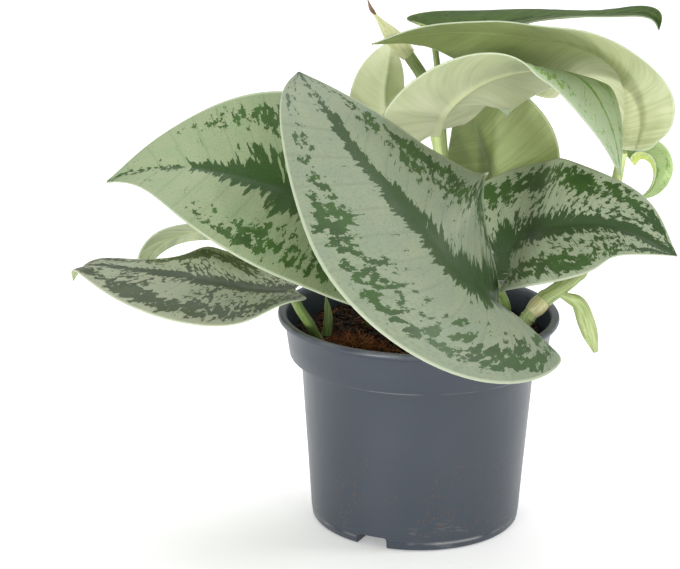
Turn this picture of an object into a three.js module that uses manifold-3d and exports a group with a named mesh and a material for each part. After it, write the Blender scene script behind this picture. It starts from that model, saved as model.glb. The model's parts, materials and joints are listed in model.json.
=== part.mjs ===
// Potted scindapsus: a satin pothos vine in a 12 cm round nursery pot.
// Millimetres, +Z up. The origin is the centre of the pot's underside, so the pot stands on z = 0.
import * as THREE from 'three';
import { mergeVertices } from 'three/addons/utils/BufferGeometryUtils.js';
import Module from 'manifold-3d';

const wasm = await Module();
wasm.setup();

// ---------- Driving dimensions ----------
const GAP = 0.3;                 // clearance between pieces that touch

const POT_HEIGHT = 92;
const LIP_RADIUS = 60;           // outer edge of the rolled lip
const LIP_HEIGHT = 3;
const COLLAR_TOP_RADIUS = 57.2;
const COLLAR_FOOT_RADIUS = 54.9;
const COLLAR_FOOT_HEIGHT = 72.8; // underside of the stacking collar
const BODY_TOP_RADIUS = 50;
const BASE_RADIUS = 44.8;
const WALL = 1.4;
const FLOOR = 1.8;
const POT_SIDES = 48;

const CHANNEL_COUNT = 3;         // radial drain channels under the floor
const CHANNEL_FIRST_ANGLE = -116;
const CHANNEL_WIDTH = 14;
const CHANNEL_HEIGHT = 5;
const CHANNEL_INNER_END = 24;    // distance of the channel's inner end from the axis
const DRAIN_HOLE_RADIUS = 4;
const DRAIN_HOLE_PLACE = 31;     // distance of each drain hole from the axis

const SOIL_LEVEL = 82;
const SOIL_BOTTOM = CHANNEL_HEIGHT + FLOOR + GAP;
const MOUND = { x: -28, y: -34, height: 7, spread: 14 };

const LEAF_THICKNESS = 0.9;
const LEAF_STATIONS = 12;        // cells from the base to the tip
const LEAF_RIBS = 3;             // cells from the midrib to each margin
const LOBE_PLACE = 0.07;         // where along the margin the lobes reach furthest back

// ---------- Leaves ----------
// midrib: from the petiole's end to the tip. width: full width of the flattened leaf, or where its halves
// differ, the full width that each half would give.
// lobe: how far the basal lobes reach behind the petiole's end, as a share of the length.
// faces: the direction the upper side looks to, from base to tip. roll turns that about the midrib.
// fold: rise of each half from the midrib in degrees, from base to tip. cup: its change per mm.
const LEAVES = {
  front_leaf: {
    midrib: [[31, -44, 109], [8, -71, 136], [-9, -66, 157], [-27, -59, 176], [-43, -47, 194],
      [-49, -36, 200], [-51, -24, 200.5]],
    width: { left: 112, right: 101 }, lobe: { left: 0.085, right: -0.06 },
    faces: [[0, -1, 0.25]], roll: [48, 34, 34, 32],
    fold: { left: [49, 14, 6], right: [4, -28, -9] }, cup: { left: -0.41, right: 0.3 },
  },
  left_leaf: {
    midrib: [[-17, -10, 125], [-38, -19, 142], [-58, -29, 154], [-89, -32, 162], [-112, -24, 160],
      [-130, -22, 153]],
    width: 88, lobe: { left: 0.18, right: 0.18 }, faces: [[0, -0.6, 1]], roll: [-9, -15, -15, 7],
    fold: { left: [12, 8, 12], right: [12, 16, 8] }, cup: { left: -0.29, right: -0.25 },
  },
  lower_left_leaf: {
    midrib: [[-53, -25, 108], [-69, -24, 108], [-93, -27, 114], [-118, -20, 115], [-146, -2, 111],
      [-147, -1, 104]],
    width: 68, lobe: { left: 0.12, right: 0.12 }, faces: [[0, -0.35, 1]], roll: [21, 8, 17, 11],
    fold: { left: [11, -3, 1], right: [9, -1, 1] }, cup: { left: -0.33, right: -0.33 },
  },
  arching_leaf: {
    midrib: [[-65, 20, 119], [-90, 21, 121], [-110, 24, 115], [-119, 23, 104], [-120, 19, 85]],
    width: 48, lobe: { left: 0.12, right: 0.12 }, faces: [[0, 0.2, 1]], roll: [10, 12, 7, 3],
    fold: { left: [0, 3, 4], right: [0, 0, 5] }, cup: { left: -0.2, right: -0.2 },
  },
  right_leaf: {
    midrib: [[31, -5, 109], [39, -11, 126], [56, -25, 137], [81, -25, 137], [103, -40, 129]],
    width: 75, lobe: { left: 0.1, right: -0.18 }, faces: [[0, -0.7, 1]], roll: [0, 0, 0, 5],
    fold: { left: [14, 10, 14], right: [13, 14, 10] }, cup: { left: -0.29, right: -0.27 },
  },
  upper_centre_leaf: {
    midrib: [[6, 5, 169], [10, -6, 182], [24, -9, 194], [45, -6, 199], [64, -14, 198], [73, -23, 186],
      [80, -20, 168], [81, -20, 157]],
    width: 82, lobe: { left: 0.14, right: 0.12 },
    faces: [[-0.68, 0.43, 0.51], [-0.3, 0.4, 0.8], [0, 0.1, 1], [0.6, -0.3, 0.6], [0.76, -0.54, 0.24]],
    roll: [-4, -6, 1, 1],
    fold: { left: [5, -9, 3], right: [10, 5, -4] }, cup: { left: -0.3, right: -0.26 },
  },
  upper_right_leaf: {
    midrib: [[84, 2, 162], [87, 10, 175], [83, 7, 195], [69, 7, 205], [49, 11, 208], [23, 10, 211],
      [-2, 5, 211], [-22, 6, 206]],
    width: 92, lobe: { left: 0.06, right: -0.03 },
    faces: [[0.72, 0.68, 0], [0.42, 0.6, 0.48], [0.1, 0.5, 0.85], [-0.1, 0.4, 0.9]], roll: [-4, -14, -5, -5],
    fold: { left: [-10, -2, 5], right: [32, -14, -4] }, cup: { left: -0.39, right: -0.29 },
  },
  top_leaf: {
    midrib: [[6, 53, 202], [26, 53, 204], [52, 50, 209], [76, 43, 212], [99, 33, 215], [103, 31, 213],
      [100.5, 30, 208]],
    width: 66, lobe: { left: 0.16, right: 0.16 }, faces: [[0, 0, 1]], roll: [6, 4, 0, 7],
    fold: { left: [8, 0, 4], right: [10, 17, 12, 4] }, cup: { left: -0.4, right: -0.4 },
  },
  small_pale_leaf: {
    midrib: [[-12, 24, 160], [-16, 27, 179], [-14, 33, 192], [-13, 44, 200]],
    width: 34, lobe: { left: 0.12, right: 0.12 }, faces: [[0, 1, 0]], roll: [34, 34, 14],
    fold: { left: [13, 19, 6], right: [9, 11, 11] }, cup: { left: -0.38, right: -0.4 },
  },
  back_leaf: {
    midrib: [[36, 35, 132], [31, 43, 150], [26, 49.5, 162], [22, 59, 173], [20, 71, 181]],
    width: 70, lobe: { left: 0.13, right: 0.13 },
    faces: [[0, 1, 0.1], [0, 1, 0.4]], roll: [-30, -33, -32, -31],
    fold: { left: [9, 10, 11], right: [10, 16, 14] }, cup: { left: -0.3, right: -0.27 },
  },
  young_curled_leaf: {
    midrib: [[88.5, 6.5, 157], [92, 7, 159.5], [96.5, 5, 158], [98.5, 2, 152.5], [96, -1, 146],
      [91, -3, 142.5]],
    width: 17, lobe: { left: 0.05, right: 0.05 },
    faces: [[-0.2, -0.5, 1], [0.3, -0.9, 0.5], [0.2, -1, 0], [0.2, -1, -0.3]], roll: [0, 0, 0],
    fold: { left: [15, 12, 10], right: [60, 66, 50] }, cup: { left: 1.2, right: 1.2 },
  },
};

// ---------- Stalks: round stretches of vine and petiole, from the lower end to the upper end ----------
const STALKS = {
  main_vine: { path: [[8, 11, 82.6], [10, 14, 112], [10, 17, 145], [7, 19, 172], [1, 20, 188],
    [-6, 19, 199]], radius: 2.8 },
  right_vine: { path: [[40, -10, 83.2], [43, -10, 88], [47.5, -9, 94.5]], radius: 3.4 },
  right_vine_upper: { path: [[53, -7, 100], [60, -6, 105], [68, -4, 112], [76, 1, 127], [80, 4, 138]],
    radius: 3.4 },
  front_petiole: { path: [[15, -16, 83.4], [19, -24, 91], [27, -38, 100], [32, -46, 106.2]], radius: 2 },
  left_petiole: { path: [[-2, -2, 82.6], [-5, -3, 98], [-10, -6, 112], [-16, -9.2, 123.4]], radius: 2 },
  arching_petiole: { path: [[-20, 8, 82.6], [-28, 11, 97], [-42, 15, 111], [-62, 19.6, 118.4]],
    radius: 1.6 },
  lower_left_petiole: { path: [[-43, -19, 84], [-46, -21, 92], [-50, -23, 99], [-53, -25, 105.6]],
    radius: 2.4 },
  right_petiole: { path: [[38, 1, 82.6], [37.5, -2, 94], [35, -4, 101], [31.6, -4.8, 106.6]], radius: 1.9 },
  upper_centre_petiole: { path: [[11, 10.4, 130], [9.6, 8.6, 144], [7.4, 6.6, 158], [6.2, 5.9, 166]],
    radius: 2.6 },
  upper_right_petiole: { path: [[80.6, 4.4, 140], [82.4, 4.2, 149], [83.6, 2.6, 159.4]], radius: 2.6 },
  top_petiole: { path: [[8, 24, 166], [8, 38, 183], [6.2, 52, 198.6]], radius: 1.7 },
  small_pale_petiole: { path: [[5.4, 19, 138], [-3, 21.6, 148], [-11.2, 23.8, 158]], radius: 1.4 },
  back_petiole: { path: [[20, 20, 82.6], [27, 25, 102], [33, 31, 120], [35.9, 34.6, 129.6]], radius: 1.9 },
};

// ---------- Spindles: closed tapering pieces, given by a path and the radius along it ----------
const SPINDLES = {
  shoot_sheath: { path: [[-6.4, 18.9, 199.6], [-13, 18, 207], [-20, 16, 216]],
    radii: [2.9, 3.6, 3.1, 1.6, 0.5] },
  dry_shoot_tip: { path: [[-20.4, 15.9, 216.8], [-21.8, 15.5, 218.8], [-23, 15, 222]],
    radii: [0.5, 0.9, 0.6, 0.2] },
  right_node_ring: { path: [[48, -8.8, 95], [50.4, -8, 97.4], [52.5, -7.2, 99.5]],
    radii: [3.3, 3.9, 3.9, 3.3] },
  hanging_bud: { path: [[62.5, -8, 101], [67, -9, 99], [71, -9, 90], [75, -10, 78]],
    radii: [1.2, 2.6, 3.2, 2.8, 1] },
  left_spear: { path: [[-39, -8, 84], [-38.5, -6.5, 91], [-39.5, -5, 99]], radii: [1.9, 1.8, 1.3, 0.3] },
  right_spear: { path: [[36, 8, 82.6], [36.5, 8, 91], [35, 10, 99]], radii: [2.2, 2, 1.6, 0.3] },
};

// ---------- Finishes ----------
const finish = (color, roughness) => new THREE.MeshStandardMaterial({ color, roughness, metalness: 0 });
const POT_PLASTIC = 0x555c64;
const SOIL_BROWN = 0x3a271c;
const STALK_GREEN = 0xa9b573;
const SHOOT_GREEN = 0xc3c98a;
const DRY_BROWN = 0x7a5433;
const LEAF_GREEN = 0x8fa585;

// ---------- Helpers ----------
const radians = (degrees) => (degrees * Math.PI) / 180;
const clamp = (value, low, high) => Math.min(Math.max(value, low), high);

// A value along a leaf, read smoothly from a short list that is spread evenly from base to tip.
function along(list, share) {
  const place = clamp(share, 0, 1) * (list.length - 1);
  const first = Math.min(Math.floor(place), Math.max(list.length - 2, 0));
  const w = place - first;
  const [a, b, c, d] = [-1, 0, 1, 2].map((step) => list[clamp(first + step, 0, list.length - 1)]);
  return 0.5 * (2 * b + (c - a) * w + (2 * a - 5 * b + 4 * c - d) * w * w + (3 * b - a - 3 * c + d) * w ** 3);
}

const vector = (xyz) => new THREE.Vector3(...xyz);
const curveThrough = (points) => new THREE.CatmullRomCurve3(points.map(vector));

function positionsOnly(geometry) {
  geometry.deleteAttribute('normal');
  geometry.deleteAttribute('uv');
  return mergeVertices(geometry, 1e-4);
}

function toSolid(geometry) {
  const merged = positionsOnly(geometry);
  const vertProperties = merged.attributes.position.array;
  const triVerts = new Uint32Array(merged.index.array);
  return new wasm.Manifold(new wasm.Mesh({ numProp: 3, vertProperties, triVerts }));
}

function fromSolid(solid) {
  const mesh = solid.getMesh();
  const geometry = new THREE.BufferGeometry();
  geometry.setAttribute('position', new THREE.BufferAttribute(mesh.vertProperties, 3));
  geometry.setIndex(new THREE.BufferAttribute(mesh.triVerts, 1));
  return geometry;
}

// Move every vertex of a geometry by a function from old place to new place.
function deform(geometry, move) {
  const places = geometry.attributes.position;
  const point = new THREE.Vector3();
  for (let i = 0; i < places.count; i += 1) {
    point.fromBufferAttribute(places, i);
    const moved = move(point);
    places.setXYZ(i, moved.x, moved.y, moved.z);
  }
  return geometry;
}

// A lathe turned about Z instead of Y, from [radius, height] pairs.
function turned(profile, sides) {
  const points = profile.map(([radius, height]) => new THREE.Vector2(radius, height));
  return new THREE.LatheGeometry(points, sides).rotateX(Math.PI / 2);
}

// ---------- Pot ----------
function potOutside() {
  return turned([
    [0, 0], [BASE_RADIUS - 1.2, 0], [BASE_RADIUS, 1.2], [BODY_TOP_RADIUS, COLLAR_FOOT_HEIGHT],
    [COLLAR_FOOT_RADIUS, COLLAR_FOOT_HEIGHT + 0.6], [COLLAR_TOP_RADIUS, POT_HEIGHT - LIP_HEIGHT],
    [LIP_RADIUS - 0.4, POT_HEIGHT - LIP_HEIGHT + 0.4], [LIP_RADIUS, POT_HEIGHT - 1.4],
    [LIP_RADIUS - 0.9, POT_HEIGHT], [0, POT_HEIGHT],
  ], POT_SIDES);
}

function potInside() {
  return turned([
    [0, FLOOR], [BASE_RADIUS - WALL, FLOOR], [BODY_TOP_RADIUS - WALL, COLLAR_FOOT_HEIGHT + 0.6],
    [COLLAR_FOOT_RADIUS - WALL, COLLAR_FOOT_HEIGHT + 2.2], [COLLAR_TOP_RADIUS - WALL, POT_HEIGHT - 1.5],
    [LIP_RADIUS - 3.2, POT_HEIGHT + 1], [0, POT_HEIGHT + 1],
  ], POT_SIDES);
}

// A radial block from the channel's inner end out past the wall, grown on its sides and top by extra.
function channelBlock(angle, extra) {
  const length = BASE_RADIUS + 10 - CHANNEL_INNER_END + extra;
  const height = CHANNEL_HEIGHT + extra + 1;
  const block = new THREE.BoxGeometry(length, CHANNEL_WIDTH + 2 * extra, height);
  block.translate(CHANNEL_INNER_END - extra + length / 2, 0, height / 2 - 1);
  return toSolid(block.rotateZ(angle));
}

function drainHole(angle) {
  const hole = new THREE.CylinderGeometry(DRAIN_HOLE_RADIUS, DRAIN_HOLE_RADIUS, 20, 16);
  return toSolid(hole.rotateX(Math.PI / 2).translate(DRAIN_HOLE_PLACE, 0, 5).rotateZ(angle));
}

function pot() {
  const outside = toSolid(potOutside());
  let shell = outside.subtract(toSolid(potInside()));
  for (let i = 0; i < CHANNEL_COUNT; i += 1) {
    const angle = radians(CHANNEL_FIRST_ANGLE + (i * 360) / CHANNEL_COUNT);
    shell = shell.add(channelBlock(angle, WALL).intersect(outside));
    shell = shell.subtract(channelBlock(angle, 0)).subtract(drainHole(angle));
  }
  return fromSolid(shell);
}

// ---------- Potting mix ----------
function soilHeight(x, y) {
  const far = Math.hypot(x - MOUND.x, y - MOUND.y) / MOUND.spread;
  const ripple = 0.7 * Math.sin(x * 0.21) * Math.cos(y * 0.17);
  return SOIL_LEVEL + ripple + MOUND.height * Math.exp(-far * far);
}

function pottingMix() {
  const bottomRadius = BASE_RADIUS - WALL - GAP;
  const shoulderRadius = BODY_TOP_RADIUS - WALL - GAP - 0.2;
  const topRadius = COLLAR_FOOT_RADIUS - WALL - GAP;
  const rings = [52, 44, 34, 24, 12].map((radius) => [radius, SOIL_LEVEL]);
  const body = turned([
    [0, SOIL_BOTTOM], [bottomRadius, SOIL_BOTTOM], [shoulderRadius, COLLAR_FOOT_HEIGHT + 0.6],
    [topRadius, COLLAR_FOOT_HEIGHT + 4.2], ...rings, [0, SOIL_LEVEL],
  ], 36);
  return deform(body, (p) => (p.z < SOIL_LEVEL - 1 ? p : p.setZ(soilHeight(p.x, p.y) - 0.6)));
}

// ---------- Leaf blade ----------
// The flattened half outline is a heart with a drawn-out tip: at share u of the way round from the base
// to the tip it lies at x along the midrib and y out from it.
function marginPoint(u, length, halfWidth, lobe) {
  const back = lobe * (u / LOBE_PLACE) * Math.exp(1 - u / LOBE_PLACE);
  return { x: length * (u - back), y: halfWidth * 2.751 * Math.sqrt(u) * (1 - u) ** 1.15 };
}

// Place and direction of the midrib at a distance from its base, straight on behind the base.
function midribAt(curve, length, distance) {
  const reach = 0.13 * length;
  const inside = clamp(distance, 0, length);
  const ahead = curve.getPointAt(clamp(inside + reach, reach, length) / length);
  const behind = curve.getPointAt(clamp(inside - reach, 0, length - reach) / length);
  const direction = ahead.sub(behind).normalize();
  const place = curve.getPointAt(inside / length);
  if (distance < 0) place.addScaledVector(direction, distance);
  return { place, direction };
}

// A point of the bent blade. side is +1 on the right half and -1 on the left, t goes from midrib to margin.
function bladePoint(leaf, curve, length, u, t, side) {
  const half = side > 0 ? 'right' : 'left';
  const width = leaf.width[half] ?? leaf.width;
  const margin = marginPoint(u, length, width / 2, leaf.lobe[half]);
  const veinStart = length * u ** 1.5;
  const distance = veinStart + (margin.x - veinStart) * t;
  const out = margin.y * t;
  const { place, direction } = midribAt(curve, length, distance);
  const share = distance / length;
  const up = new THREE.Vector3(
    ...[0, 1, 2].map((axis) => along(leaf.faces.map((face) => face[axis]), share)),
  );
  up.addScaledVector(direction, -up.dot(direction)).normalize();
  up.applyAxisAngle(direction, radians(along(leaf.roll, share)));
  const across = new THREE.Vector3().crossVectors(direction, up);
  const start = radians(along(leaf.fold[half], share));
  const bend = radians(leaf.cup[half]);
  const end = start + bend * out;
  const spread = (Math.sin(end) - Math.sin(start)) / bend;
  const rise = (Math.cos(start) - Math.cos(end)) / bend;
  return place.addScaledVector(across, side * spread).addScaledVector(up, rise);
}

// The blade is a thin slab, bent cell by cell: its two faces stand half the thickness off the leaf surface.
function blade(leaf) {
  const curve = curveThrough(leaf.midrib);
  const length = curve.getLength();
  const slab = new THREE.BoxGeometry(2, 1, LEAF_THICKNESS, 2 * LEAF_RIBS, LEAF_STATIONS, 1);
  const surface = (u, x) => bladePoint(leaf, curve, length, u, Math.abs(x), x < 0 ? -1 : 1);
  const shareAt = (y) => 0.012 + 0.97 * (y + 0.5) ** 1.3;
  return deform(slab, (p) => {
    const u = shareAt(p.y);
    const place = surface(u, p.x);
    const step = 0.01;
    const lengthways = surface(Math.min(u + step, 0.995), p.x).sub(surface(Math.max(u - step, 0.002), p.x));
    const x = clamp(p.x, step - 1, 1 - step);
    const crossways = surface(u, x + step).sub(surface(u, x - step));
    return place.addScaledVector(crossways.cross(lengthways).normalize(), p.z);
  });
}

// ---------- Stalks and spindles ----------
function stalk({ path, radius }) {
  const section = new THREE.Shape().absarc(0, 0, radius, 0, 2 * Math.PI);
  const curve = curveThrough(path);
  const steps = Math.max(4, Math.round(curve.getLength() / 9));
  return new THREE.ExtrudeGeometry(section, { steps, curveSegments: 4, extrudePath: curve });
}

// A rounded spindle: a lathe along Y from 0 to 1, carried onto the path.
function spindle({ path, radii }) {
  const curve = curveThrough(path);
  const rows = 8;
  const profile = [new THREE.Vector2(0, 0)];
  for (let i = 0; i <= rows; i += 1) profile.push(new THREE.Vector2(along(radii, i / rows), i / rows));
  profile.push(new THREE.Vector2(0, 1));
  const frames = curve.computeFrenetFrames(rows);
  return deform(new THREE.LatheGeometry(profile, 10), (p) => {
    const row = Math.round(p.y * rows);
    const place = curve.getPointAt(p.y);
    return place.addScaledVector(frames.normals[row], p.z).addScaledVector(frames.binormals[row], p.x);
  });
}

// ---------- Assembly ----------
const plant = new THREE.Group();
function addPiece(name, geometry, material) {
  const mesh = new THREE.Mesh(positionsOnly(geometry), material);
  mesh.name = name;
  plant.add(mesh);
}

const potMesh = new THREE.Mesh(pot(), finish(POT_PLASTIC, 0.45));
potMesh.name = 'nursery_pot';
plant.add(potMesh);
addPiece('potting_mix', pottingMix(), finish(SOIL_BROWN, 0.95));
for (const [name, leaf] of Object.entries(LEAVES)) addPiece(name, blade(leaf), finish(LEAF_GREEN, 0.5));
for (const [name, piece] of Object.entries(STALKS)) addPiece(name, stalk(piece), finish(STALK_GREEN, 0.45));
for (const [name, piece] of Object.entries(SPINDLES)) {
  const colour = name === 'dry_shoot_tip' ? DRY_BROWN : SHOOT_GREEN;
  addPiece(name, spindle(piece), finish(colour, 0.45));
}

export default plant;
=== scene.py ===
# %% [markdown]
# # A potted satin pothos
# This lesson builds the looks of a potted scindapsus: a vine with silver-marked, heart-shaped leaves in a
# moulded nursery pot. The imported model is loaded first. It fixes every size and place, so the pieces made
# here are laid exactly where its pieces are, and take their place.
# %% Load the frame
import json
import math
import random

import bpy
import numpy as np
from mathutils import Matrix, Vector, noise

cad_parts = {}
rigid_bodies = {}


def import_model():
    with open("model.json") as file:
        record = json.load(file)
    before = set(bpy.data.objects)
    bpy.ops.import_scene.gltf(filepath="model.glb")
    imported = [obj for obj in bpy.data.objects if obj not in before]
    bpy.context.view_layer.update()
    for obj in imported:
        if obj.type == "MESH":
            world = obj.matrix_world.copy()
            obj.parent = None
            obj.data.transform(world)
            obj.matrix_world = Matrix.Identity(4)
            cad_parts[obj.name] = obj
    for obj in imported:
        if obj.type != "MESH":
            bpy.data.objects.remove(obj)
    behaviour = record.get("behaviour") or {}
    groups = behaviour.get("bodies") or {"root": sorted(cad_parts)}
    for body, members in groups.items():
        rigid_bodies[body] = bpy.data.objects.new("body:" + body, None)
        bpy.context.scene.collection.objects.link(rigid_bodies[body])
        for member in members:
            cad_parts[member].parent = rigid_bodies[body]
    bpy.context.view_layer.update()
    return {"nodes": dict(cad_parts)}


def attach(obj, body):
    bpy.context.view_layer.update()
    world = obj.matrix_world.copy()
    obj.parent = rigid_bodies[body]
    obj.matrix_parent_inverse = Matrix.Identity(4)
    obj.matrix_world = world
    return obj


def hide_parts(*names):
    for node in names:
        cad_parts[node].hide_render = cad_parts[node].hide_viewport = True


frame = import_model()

print("nodes in the frame:", len(frame["nodes"]))

# %% [markdown]
# Lengths are written in millimetres, as a pot maker or a botanist would give them, and turned to Blender's
# metres at the last moment. Colours are written as the hex values seen on a screen and turned to linear light
# by one function. One more function adds a shader node with its settings and links.
# %% Units, colour and node helpers
MM = 0.001
random.seed(11)


def linear(hex_colour):
    """A screen colour such as "a4ad92" as linear red, green, blue and full opacity."""
    channels = [int(hex_colour[i:i + 2], 16) / 255 for i in (0, 2, 4)]
    return [c / 12.92 if c <= 0.04045 else ((c + 0.055) / 1.055) ** 2.4 for c in channels] + [1.0]


def node(tree, kind, inputs=None, **settings):
    """Adds one shader node. An input given as a socket is linked, and anything else is set as a value."""
    made = tree.nodes.new("ShaderNode" + kind)
    for name, value in settings.items():
        setattr(made, name, value)
    for name, value in (inputs or {}).items():
        if isinstance(value, bpy.types.NodeSocket):
            tree.links.new(value, made.inputs[name])
        else:
            made.inputs[name].default_value = value
    return made


def new_finish(name):
    """A new material with an empty node tree: returns the material, its tree and its surface shader."""
    material = bpy.data.materials.new(name)
    material.use_nodes = True
    tree = material.node_tree
    tree.nodes.clear()
    shader = node(tree, "BsdfPrincipled")
    node(tree, "OutputMaterial", {"Surface": shader.outputs["BSDF"]})
    return material, tree, shader


def math_node(tree, operation, *values, clamp=False):
    """The result of one sum, product or comparison of numbers or sockets."""
    made = node(tree, "Math", dict(enumerate(values)), operation=operation, use_clamp=clamp)
    return made.outputs[0]


def mix_colour(tree, share, first, second, blend="MIX"):
    made = node(tree, "Mix", {0: share, 6: first, 7: second}, data_type="RGBA", blend_type=blend)
    return made.outputs[2]


def sharp(tree, value, low, high):
    """0 below low and 1 above high, with a smooth step between."""
    step = node(tree, "MapRange", {0: value, 1: low, 2: high}, interpolation_type="SMOOTHSTEP")
    return step.outputs[0]


print("white as linear light:", linear("ffffff"))

# %% [markdown]
# ## Camera, floor and light
# The plant is seen from the front and a little above, with a long lens, so near and far leaves keep nearly
# the same scale. It stands on a plain pale floor. A large soft lamp at the right throws a faint shadow to the
# left, and two tall soft boxes give the pot the broad upright highlights of moulded plastic.
# %% Camera
bpy.ops.object.select_all(action="DESELECT")
LENS = 123.2
CAMERA_PLACE = (-33.6, -944.0, 396.8)
CAMERA_PITCH = 17.28             # degrees below the horizon
CAMERA_ROLL = 0.55
bpy.ops.object.camera_add(location=[c * MM for c in CAMERA_PLACE])
camera = bpy.context.object
look_down = Matrix.Rotation(math.radians(90 - CAMERA_PITCH), 3, "X")
roll = Matrix.Rotation(math.radians(CAMERA_ROLL), 3, "Z")
camera.rotation_euler = (look_down @ roll).to_euler()
camera.data.lens = LENS
camera.data.sensor_width = 36
camera.data.clip_end = 20
bpy.context.scene.camera = camera
print("camera at", tuple(camera.location))

# %% Floor and world
bpy.ops.mesh.primitive_plane_add(size=12, location=(0, 0, -0.0002))
floor = bpy.context.object
floor.name = "floor"
floor_paint, _, floor_shader = new_finish("matt white studio paper")
floor_shader.inputs["Base Color"].default_value = linear("fafafa")
floor_shader.inputs["Emission Color"].default_value = linear("ffffff")
floor_shader.inputs["Emission Strength"].default_value = 0.3
floor_shader.inputs["Roughness"].default_value = 0.9
floor_shader.inputs["Specular IOR Level"].default_value = 0.1
floor.data.materials.append(floor_paint)

world = bpy.data.worlds.new("studio")
world.use_nodes = True
world.node_tree.nodes["Background"].inputs["Color"].default_value = linear("ffffff")
world.node_tree.nodes["Background"].inputs["Strength"].default_value = 0.62
bpy.context.scene.world = world
bpy.context.scene.view_settings.view_transform = "Standard"
print("floor and world made")


# %% Lamps
def soft_box(name, place, aim, width, height, power):
    """A rectangular soft lamp at a place in metres, turned to face the aim."""
    bpy.ops.object.light_add(type="AREA", location=place)
    lamp = bpy.context.object
    lamp.name = name
    lamp.data.shape = "RECTANGLE"
    lamp.data.size = width
    lamp.data.size_y = height
    lamp.data.energy = power
    lamp.rotation_euler = (Vector(aim) - Vector(place)).to_track_quat("-Z", "Y").to_euler()
    return lamp


soft_box("key_right", (1.45, -0.1, 1.1), (0, 0, 0.1), 0.5, 0.5, 8)
soft_box("front_left", (-0.71, -1.09, 0.1), (0, 0, 0.04), 0.1, 0.2, 9)
soft_box("front_right", (0.67, -1.11, 0.1), (0, 0, 0.04), 0.05, 0.2, 3)
soft_box("top", (-0.1, 0.5, 1.5), (0, 0, 0.1), 1.4, 1.2, 14)

# %% [markdown]
# ## The nursery pot
# A nursery pot is moulded in thin polypropylene. It has a plain tapering body, a wider stacking collar, a
# rolled lip, and drain channels pressed up into its floor. Its wall is one line walked from the underside,
# over the lip and down to the floor inside. Here that walk is done with a filled circle: each step extrudes
# it and scales it to the next radius. Spinning a profile would do too, but it leaves a seam to close.
# %% The pot's profile in millimetres
POT_OUTSIDE = [(44.1, 0.3), (44.65, 1.0), (44.9, 3.1), (44.75, 3.4), (45.05, 3.8), (46.6, 26), (48.3, 49),
               (49.9, 71.6), (50.15, 72.4), (50.8, 72.8), (53.9, 72.95), (54.6, 73.2), (54.95, 73.9),
               (56.0, 81), (57.05, 88.2), (57.3, 88.9), (57.9, 89.1), (59.2, 89.2), (59.8, 89.6), (60, 90.3),
               (59.95, 91.1), (59.6, 91.7), (59.0, 92)]
POT_INSIDE = [(57.5, 91.9), (56.8, 91.5), (56.3, 90.7), (55.8, 89.4), (54.7, 81), (53.6, 75.4), (53.2, 74.6),
              (52.4, 74.2), (49.4, 73.9), (48.75, 73.3), (46.2, 38), (43.7, 3), (43.3, 2.1), (42.4, 1.8)]
POT_SIDES = 160
CHANNEL_ANGLES = (-116, 4, 124)
CHANNEL_WIDTH, CHANNEL_HEIGHT, CHANNEL_INNER_END = 14, 5, 24
POT_WALL = 1.4
DRAIN_HOLE_RADIUS, DRAIN_HOLE_PLACE = 4, 31


def walk_profile(start, steps, sides=POT_SIDES):
    """A filled circle at the first (radius, height), extruded and scaled through each next step."""
    bpy.ops.object.select_all(action="DESELECT")
    radius, height = start
    bpy.ops.mesh.primitive_circle_add(vertices=sides, radius=radius * MM, fill_type="NGON",
                                      location=(0, 0, height * MM))
    bpy.ops.object.transform_apply(location=True, rotation=True, scale=True)
    bpy.ops.object.mode_set(mode="EDIT")
    bpy.ops.mesh.select_all(action="SELECT")
    for next_radius, next_height in steps:
        rise = (next_height - height) * MM
        bpy.ops.mesh.extrude_region_move(TRANSFORM_OT_translate={"value": (0, 0, rise)})
        share = next_radius / radius
        bpy.ops.transform.resize(value=(share, share, 1), center_override=(0, 0, next_height * MM))
        radius, height = next_radius, next_height
    bpy.ops.mesh.select_all(action="SELECT")
    bpy.ops.mesh.normals_make_consistent(inside=False)
    bpy.ops.object.mode_set(mode="OBJECT")
    return bpy.context.object


pot = walk_profile((43.2, 0), POT_OUTSIDE + POT_INSIDE)
pot.name = "pot_shell"
print("pot wall:", len(pot.data.polygons), "faces")


# %% Drain channels and holes
def apply_boolean(body, tool, operation):
    """Adds or cuts the tool, then throws it away."""
    boolean = body.modifiers.new(operation.lower(), "BOOLEAN")
    boolean.operation = operation
    boolean.object = tool
    boolean.solver = "EXACT"
    bpy.context.view_layer.objects.active = body
    bpy.ops.object.modifier_apply(modifier=boolean.name)
    bpy.data.objects.remove(tool)


def radial_block(angle, inner_end, outer_end, width, low, high, rounding):
    """A block along one radius of the pot, with its long upper edges rounded."""
    bpy.ops.object.select_all(action="DESELECT")
    middle = (inner_end + outer_end) / 2
    half_way_up = (low + high) / 2 * MM
    turn = math.radians(angle)
    bpy.ops.mesh.primitive_cube_add(
        size=1, location=(middle * math.cos(turn) * MM, middle * math.sin(turn) * MM, half_way_up),
        rotation=(0, 0, turn), scale=((outer_end - inner_end) * MM, width * MM, (high - low) * MM))
    block = bpy.context.object
    bpy.ops.object.transform_apply(location=True, rotation=True, scale=True)
    for edge in block.data.edges:
        edge.select = all(block.data.vertices[i].co.z > half_way_up for i in edge.vertices)
    for vertex in block.data.vertices:
        vertex.select = vertex.co.z > half_way_up
    bpy.ops.object.mode_set(mode="EDIT")
    bpy.ops.mesh.select_mode(type="EDGE")
    bpy.ops.mesh.bevel(offset=rounding * MM, segments=4)
    bpy.ops.object.mode_set(mode="OBJECT")
    return block


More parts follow.
